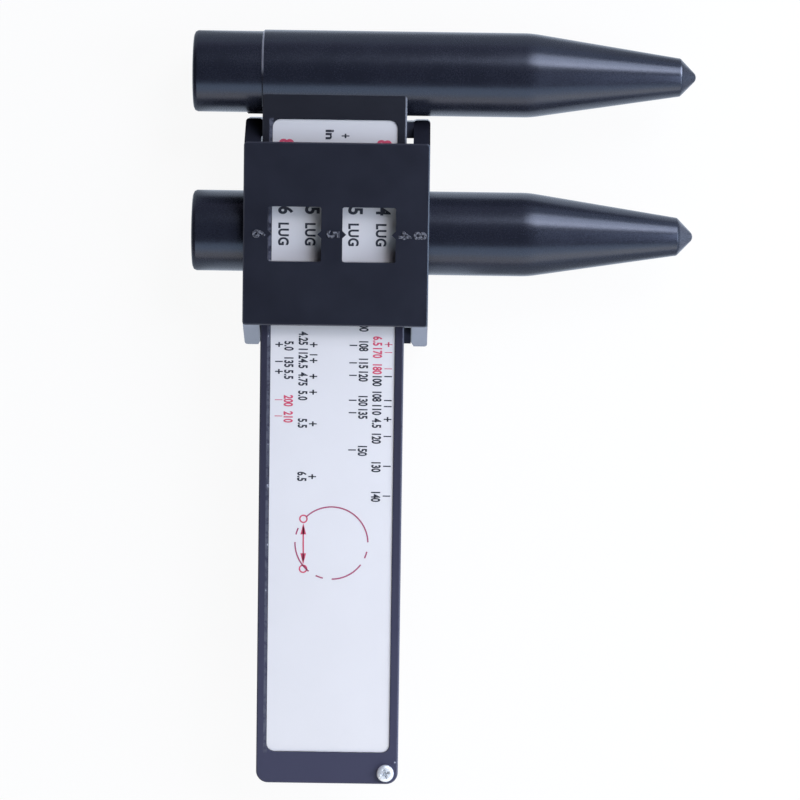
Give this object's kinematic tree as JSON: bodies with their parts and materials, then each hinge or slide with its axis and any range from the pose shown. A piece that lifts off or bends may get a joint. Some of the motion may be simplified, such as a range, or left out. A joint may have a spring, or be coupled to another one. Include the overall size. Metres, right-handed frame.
{
  "type": "bolt pattern gauge",
  "caption": "Sliding gauge for wheel bolt patterns: a flat scale beam with a fixed tapered probe across its head and a windowed slider carrying a second probe.",
  "frame": {"origin": "centre of the footprint, on the plane that the gauge's back rests on", "axes": "+X along the probes towards their tips, +Y up the beam towards its head and the fixed probe, +Z out of the label's face"},
  "size_m": [0.1178, 0.1778, 0.0233],
  "materials": {
    "black_plastic": "fine matt moulded black",
    "probe_plastic": "satin black with a fine grain",
    "label_plate": "satin off-white, printed in black and red",
    "nickel_screw": "bright nickel plate",
    "spring_steel": "plain spring steel"
  },
  "bodies": {
    "beam_unit": {"beam": "black_plastic", "scale_label": "label_plate", "stop_screw": "nickel_screw", "fixed_probe": "probe_plastic", "fixed_probe_cap": "probe_plastic", "fixed_probe_screws": "nickel_screw"},
    "slider_unit": {"slider_body": "black_plastic", "slider_cover": "black_plastic", "side_spring": "spring_steel", "sliding_probe": "probe_plastic", "sliding_probe_cap": "probe_plastic", "sliding_probe_screws": "nickel_screw"}
  },
  "joints": [
    {"name": "slider_slide", "type": "slide", "parent": "beam_unit", "child": "slider_unit", "axis": [0, -1, 0], "range_m": [-0.0009, 0.104]}
  ]
}
